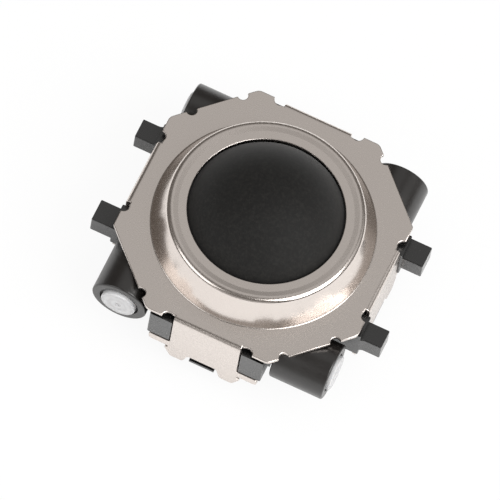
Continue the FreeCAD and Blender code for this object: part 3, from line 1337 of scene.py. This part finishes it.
@dataclass
class Ball:
    """The captive ball.

    Args:
        radius: Its radius in millimetres.
        height: Height of its centre in millimetres.
        levels: How many times its cube's faces are divided in four.
    """

    radius: float
    height: float
    levels: int = 6

    def build(self) -> bpy.types.Object:
        """Cube that is subdivided and cast into an even sphere.

        Returns:
            The finished ball.
        """
        bench = Bench("ball_skin")
        bpy.ops.mesh.delete(type="VERT")
        bpy.ops.mesh.primitive_cube_add(size=2 * self.radius)
        bench.leave()
        bench.modify("SUBSURF", subdivision_type="SIMPLE", levels=self.levels, render_levels=self.levels)
        bench.modify("CAST", cast_type="SPHERE", factor=1.0, size=self.radius, use_radius_as_size=False)
        bench.shift((0, 0, self.height))
        return bench.finish()

    def dress(self, ball: bpy.types.Object) -> None:
        """Gives the ball its finish, ties it to its body and hides the node it stands in for.

        Args:
            ball: The finished ball.
        """
        coat(ball, BallBlack().material("ball_black"))
        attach(ball, "ball")
        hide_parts("ball")


@dataclass
class Roller:
    """Magnet and hub on one roller, drawn for the left side and carried round to the others.

    All sizes are in millimetres. Places along the axis are distances from the module's middle.

    Args:
        offset: Distance of the axis from the module's middle.
        height: Height of the axis.
        magnet_radius: Radius of the magnet.
        magnet_start: Place of its inner end.
        magnet_end: Place of its outer end.
        nose: Place of the hub's inner end, a thrust nose.
        hub_end: Place of the hub's outer end.
        hub_radius: Radius of the hub and of the magnet's bore.
        shaft_in_hub: How far the hub's blind bore reaches past the magnet's inner end.
        journal_radius: Radius of that bore.
        magnet_round: Rounding of the magnet's outer edges.
        recess_width: Width of the magnet's recess round the hub.
        recess_depth: Depth of that recess.
        hub_edge: Rounding of the hub's outer edges.
        nose_radius: Radius of the thrust nose.
        centre_radius: Radius of the centre mark in the hub's end.
        centre_depth: Depth of the centre mark.
        centre_round: Rounding of its edge.
        bore_round: Rounding of the magnet's bore at its inner end.
        inner_round: Rounding of the small inner corners.
        magnets: The finished magnets.
        hubs: The finished hubs.
    """

    LATHE: ClassVar[str] = "lathe"

    offset: float
    height: float
    magnet_radius: float
    magnet_start: float
    magnet_end: float
    nose: float
    hub_end: float
    hub_radius: float
    shaft_in_hub: float = 1.25
    journal_radius: float = 0.25
    magnet_round: float = 0.07
    recess_width: float = 0.09
    recess_depth: float = 0.16
    hub_edge: float = 0.05
    nose_radius: float = 0.45
    centre_radius: float = 0.08
    centre_depth: float = 0.04
    centre_round: float = 0.015
    bore_round: float = 0.02
    inner_round: float = 0.01
    magnets: dict[Side, bpy.types.Object] = field(default_factory=dict)
    hubs: dict[Side, bpy.types.Object] = field(default_factory=dict)

    def turn(self, name: str, profile: Sequence[Corner], closed: bool) -> bpy.types.Object:
        """Turns a profile round the left roller's axis.

        Args:
            name: Name of the object.
            profile: Corners as (radius, distance from the middle, rounding radius).
            closed: Whether the profile is a ring that keeps off the axis.

        Returns:
            The finished piece.
        """
        bench = Bench(name)
        Pen(Plane.LEVEL).trace([(out, -along, radius) for out, along, radius in profile], closed)
        bench.revolve(ROUND_STEPS // 2, (0, 1, 0))
        self.mark(bench.piece)
        bench.shift((-self.offset, 0, self.height))
        return bench.finish()

    def mark(self, piece: bpy.types.Object) -> None:
        """Stores each point's distance from the axis and place along it, for the turned finish.

        Args:
            piece: Piece whose axis is still the Y axis.
        """
        marks = piece.data.attributes.new(self.LATHE, "FLOAT_VECTOR", "POINT")
        for point, value in zip(piece.data.vertices, marks.data):
            value.vector = (math.hypot(point.co.x, point.co.z), point.co.y, 0)

    def magnet(self) -> bpy.types.Object:
        """Ring magnet with a shallow recess round the hub.

        Returns:
            The left side's magnet.
        """
        recess = self.hub_radius + self.recess_width
        floor = self.magnet_end - self.recess_depth
        return self.turn("magnet_blank", [
            (self.hub_radius, self.magnet_start, self.bore_round),
            (self.magnet_radius, self.magnet_start, self.magnet_round),
            (self.magnet_radius, self.magnet_end, self.magnet_round),
            (recess, self.magnet_end, self.recess_width / 3),
            (recess, floor, self.inner_round),
            (self.hub_radius, floor, 0),
        ], closed=True)

    def hub(self) -> bpy.types.Object:
        """Hub with its thrust nose, blind bore, end disc and centre mark.

        Returns:
            The left side's hub.
        """
        bottom = self.hub_end - self.centre_depth
        held = self.magnet_start + self.shaft_in_hub
        return self.turn("hub_blank", [
            (0, held, 0),
            (self.journal_radius, held, self.journal_radius / 3),
            (self.journal_radius, self.nose, self.inner_round),
            (self.nose_radius, self.nose, self.hub_edge),
            (self.nose_radius, self.magnet_start, 0),
            (self.hub_radius, self.magnet_start, 0),
            (self.hub_radius, self.hub_end, self.hub_edge),
            (self.centre_radius, self.hub_end, self.centre_round),
            (self.centre_radius, bottom, self.inner_round),
            (0, bottom, 0),
        ], closed=False)

    def build(self) -> None:
        """Makes one magnet and one hub and copies them to all four sides."""
        for blank, store, label in (
            (self.magnet(), self.magnets, "ring"),
            (self.hub(), self.hubs, "end"),
        ):
            for side in Side:
                store[side] = turned_copy(blank, f"{side.label}_{label}", side)
            bpy.data.objects.remove(blank)

    def dress(self) -> None:
        """Gives the pieces their finishes, ties them to their bodies and hides the nodes they stand in
        for.
        """
        coats = {
            "magnet": CoatedMagnet().material("magnet_coat"),
            "hub": TurnedAcetal().material("turned_acetal"),
        }
        for side in Side:
            for piece, kind in ((self.magnets[side], "magnet"), (self.hubs[side], "hub")):
                coat(piece, coats[kind])
                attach(piece, f"{side.label}_roller")
                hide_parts(f"{side.label}_{kind}")


@dataclass(frozen=True)
class Inside:
    """The nodes that keep their own mesh: frame, retainer, seat, bushes and shafts.

    Args:
        along_x: Scale of the lathe marks on shafts that lie along X.
        along_y: Scale of the lathe marks on shafts that lie along Y.
    """

    along_x: Scale = (30.0, 1.0, 1.0)
    along_y: Scale = (1.0, 30.0, 1.0)

    def dress(self) -> None:
        """Gives each node its finish."""
        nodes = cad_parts
        coat(nodes["base_frame"], BlackMoulding().material("frame_black"))
        coat(nodes["roller_retainer"], BlackMoulding(roughness=0.45).material("retainer_black"))
        acetal = MouldedAcetal().material("moulded_acetal")
        coat(nodes["ball_seat"], acetal)
        steels = (
            TurnedSteel(self.along_y).material("steel_along_y"),
            TurnedSteel(self.along_x).material("steel_along_x"),
        )
        for side in Side:
            coat(nodes[f"{side.label}_shaft"], steels[side.value % 2])
            for place in ("magnet", "tail"):
                coat(nodes[f"{side.label}_{place}_bush"], acetal)


@dataclass(frozen=True)
class Lamp:
    """Soft lamp, given by the direction it stands in from the module.

    Args:
        name: Name of the lamp.
        azimuth: Direction round the module in degrees, 0 at the front and 90 on the right.
        elevation: Height above the floor in degrees.
        width: Width in metres.
        height: Height in metres.
        radiance: How bright it looks, where 1 is white.
        mirrored: Whether gloss shows it.
    """

    name: str
    azimuth: float
    elevation: float
    width: float
    height: float
    radiance: float
    mirrored: bool = True

    @property
    def away(self) -> Vector:
        """Direction from the module to the lamp."""
        turn, lift = math.radians(self.azimuth), math.radians(self.elevation)
        return Vector((math.sin(turn) * math.cos(lift), -math.cos(turn) * math.cos(lift), math.sin(lift)))


@dataclass(frozen=True)
class Studio:
    """White sweep and soft lamps round the module, with sizes in metres.

    Args:
        floor_size: Side of the square floor.
        drop: How far the floor lies below the module.
        distance: Distance of the lamps.
        room: Colour of the room's even light.
        paint: Colour of the floor in the lamps' light.
        glow_to_camera: How much of its own white the floor shows to the camera.
        glow_in_reflections: How much of its own white the floor shows in gloss.
    """

    LAMPS: ClassVar[tuple[Lamp, ...]] = (
        Lamp("ceiling_wash", 10, 80, 0.30, 0.30, 1.5, mirrored=False),
        Lamp("right_softbox", 74, 46, 0.22, 0.22, 4.8),
        Lamp("left_softbox", -40, 36, 0.20, 0.18, 1.65),
        Lamp("front_panel", 8, 14, 0.30, 0.14, 0.30),
        Lamp("overhead_panel", 195, 66, 0.22, 0.22, 0.40),
        Lamp("right_fill", 122, 36, 0.18, 0.18, 0.30),
    )

    floor_size: float = 3.0
    drop: float = 0.00001
    distance: float = 0.30
    room: Colour = (0.14, 0.13, 0.12)
    paint: Colour = (0.90, 0.90, 0.90)
    glow_to_camera: float = 0.92
    glow_in_reflections: float = 0.22

    def floor(self) -> None:
        """Plain pale floor, white to the camera and in reflections, which keeps a soft shadow."""
        bpy.ops.object.select_all(action="DESELECT")
        bpy.ops.mesh.primitive_plane_add(size=self.floor_size, location=(0, 0, -self.drop))
        floor = bpy.context.object
        floor.name = "floor"
        graph = Graph.of_material("white_sweep")
        ray = graph.node("ShaderNodeLightPath", output="Is Camera Ray")
        mirrored = graph.maths("MAXIMUM", ray.sibling("Is Glossy Ray"), ray.sibling("Is Transmission Ray"))
        share = graph.maths("MAXIMUM", ray * self.glow_to_camera, mirrored * self.glow_in_reflections)
        paint = graph.node("ShaderNodeBsdfDiffuse", sockets={"Color": self.paint})
        glow = graph.node("ShaderNodeEmission", sockets={"Color": WHITE, "Strength": 1.0})
        graph.close(graph.node("ShaderNodeMixShader", sockets={0: share, 1: paint, 2: glow}))
        coat(floor, graph.owner)

    def world(self) -> None:
        """Even dim room, white only where the camera looks past the floor."""
        world = bpy.data.worlds.new("room")
        bpy.context.scene.world = world
        graph = Graph(world)
        ray = graph.node("ShaderNodeLightPath", output="Is Camera Ray")
        room = graph.node("ShaderNodeBackground", sockets={"Color": self.room})
        white = graph.node("ShaderNodeBackground", sockets={"Color": WHITE})
        graph.close(graph.node("ShaderNodeMixShader", sockets={0: ray, 1: room, 2: white}))

    def hang(self, lamp: Lamp) -> None:
        """Hangs a soft lamp so that it faces the module.

        Args:
            lamp: Its place, size and brightness.
        """
        data = bpy.data.lights.new(lamp.name, "AREA")
        data.shape = "RECTANGLE"
        data.size, data.size_y = lamp.width, lamp.height
        data.energy = lamp.radiance * math.pi * lamp.width * lamp.height
        light = bpy.data.objects.new(lamp.name, data)
        light.location = lamp.away * self.distance
        light.rotation_euler = lamp.away.to_track_quat("Z", "Y").to_euler()
        light.visible_glossy = lamp.mirrored
        bpy.context.scene.collection.objects.link(light)

    def build(self) -> None:
        """Sets up floor, room and lamps."""
        self.floor()
        self.world()
        for lamp in self.LAMPS:
            self.hang(lamp)


@dataclass(frozen=True)
class Viewpoint:
    """The photograph's view of the module.

    Args:
        target: Middle of the plate in millimetres.
        azimuth: Direction in which the camera looks, in degrees.
        elevation: Angle at which it looks down, in degrees.
        roll: Turn about its own axis, in degrees.
        distance: Distance from the target in millimetres.
        aside: Where the target lies in the picture's plane, in millimetres.
        pixels_per_mm: Scale of the picture at the target.
        frame_pixels: Width of the picture.
        sensor: Width of the camera's sensor in millimetres.
    """

    target: Vector
    azimuth: float = -14.47
    elevation: float = 64.71
    roll: float = 11.39
    distance: float = 533.0
    aside: tuple[float, float] = (0.498, 0.889)
    pixels_per_mm: float = 27.24
    frame_pixels: float = 500.0
    sensor: float = 36.0

    def build(self) -> None:
        """Makes the camera and makes it the scene's."""
        turn, lift, roll = (math.radians(angle) for angle in (self.azimuth, self.elevation, self.roll))
        ahead = Vector((math.sin(turn) * math.cos(lift), math.cos(turn) * math.cos(lift), -math.sin(lift)))
        level = Vector((math.cos(turn), -math.sin(turn), 0))
        upright = level.cross(ahead)
        right = level * math.cos(roll) + upright * math.sin(roll)
        up = upright * math.cos(roll) - level * math.sin(roll)
        place = self.target - right * self.aside[0] - up * self.aside[1] - ahead * self.distance
        data = bpy.data.cameras.new("photo_view")
        data.sensor_width = self.sensor
        data.lens = self.pixels_per_mm * self.distance / self.frame_pixels * self.sensor
        camera = bpy.data.objects.new("photo_view", data)
        turned = Matrix((right, up, -ahead)).transposed().to_4x4()
        camera.matrix_world = Matrix.Translation(place * MM) @ turned
        bpy.context.scene.collection.objects.link(camera)
        bpy.context.scene.camera = camera


@dataclass(frozen=True)
class Box:
    """Box of a node in millimetres.

    Args:
        low: Its lowest corner.
        high: Its highest corner.
    """

    low: Vector
    high: Vector

    @classmethod
    def of(cls, node: str) -> "Box":
        """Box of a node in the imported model."""
        low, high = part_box(node)
        return cls(low / MM, high / MM)

    @property
    def radius(self) -> float:
        """Half its height."""
        return (self.high.z - self.low.z) / 2

    def middle(self, axis: str) -> float:
        """Its middle along an axis, which is x, y or z."""
        return (getattr(self.high, axis) + getattr(self.low, axis)) / 2


class Gauge:
    """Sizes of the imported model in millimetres, which the pieces are built to."""

    COLLAR_HEIGHT = 1.31
    LIP_GAP = 0.03
    EAR_MARGIN = 0.16
    NECK_GAP = 0.03

    def __init__(self) -> None:
        """Reads the boxes of the nodes that give the sizes."""
        self.cover = Box.of("top_shell")
        self.ball = Box.of("ball")
        self.magnet = Box.of("left_magnet")
        self.hub = Box.of("left_hub")
        self.bush = Box.of("left_magnet_bush")

    @property
    def plate_top(self) -> float:
        """Height of the plate's top."""
        return self.cover.high.z - self.COLLAR_HEIGHT

    @property
    def opening(self) -> float:
        """Radius of the opening, whose lower edge just clears the ball."""
        lip = self.cover.high.z - Cover.bead_height - Cover.sheet - self.ball.middle("z")
        return math.sqrt((self.ball.radius + self.LIP_GAP) ** 2 - lip ** 2)

    def cover_piece(self) -> Cover:
        """The cover at the model's sizes.

        Returns:
            The cover, not yet built.
        """
        block_out = -self.bush.low.y
        return Cover(
            half=self.cover.high.x,
            top=self.cover.high.z,
            plate_top=self.plate_top,
            foot_bottom=self.cover.low.z,
            opening=self.opening,
            ear_half=block_out + self.EAR_MARGIN,
            neck_half=-self.bush.high.y - self.NECK_GAP,
            block_out=block_out,
        )

    def ball_piece(self) -> Ball:
        """The ball at the model's sizes."""
        return Ball(radius=self.ball.radius, height=self.ball.middle("z"))

    def roller_pieces(self) -> Roller:
        """The rollers' outer pieces at the model's sizes.

        Returns:
            The magnets and hubs, not yet built.
        """
        return Roller(
            offset=-self.magnet.middle("x"),
            height=self.magnet.middle("z"),
            magnet_radius=self.magnet.radius,
            magnet_start=-self.magnet.high.y,
            magnet_end=-self.magnet.low.y,
            nose=-self.hub.high.y,
            hub_end=-self.hub.low.y,
            hub_radius=self.hub.radius,
        )


def tally(piece: bpy.types.Object) -> None:
    """Logs a piece's name and number of faces."""
    log.info("%s: %d faces", piece.name, len(piece.data.polygons))


def main() -> None:
    """Builds the pieces in order, dresses them and sets the stage."""
    logging.basicConfig(level=logging.INFO, format="%(name)s %(message)s")
    gauge = Gauge()
    for assembly in (gauge.cover_piece(), gauge.ball_piece()):
        piece = assembly.build()
        assembly.dress(piece)
        tally(piece)

    roller = gauge.roller_pieces()
    roller.build()
    roller.dress()
    for piece in (*roller.magnets.values(), *roller.hubs.values()):
        tally(piece)

    Inside().dress()
    Studio().build()
    Viewpoint(target=Vector((0, 0, gauge.plate_top))).build()
    bpy.context.scene.view_settings.view_transform = "Standard"


if __name__ == "__main__":
    main()
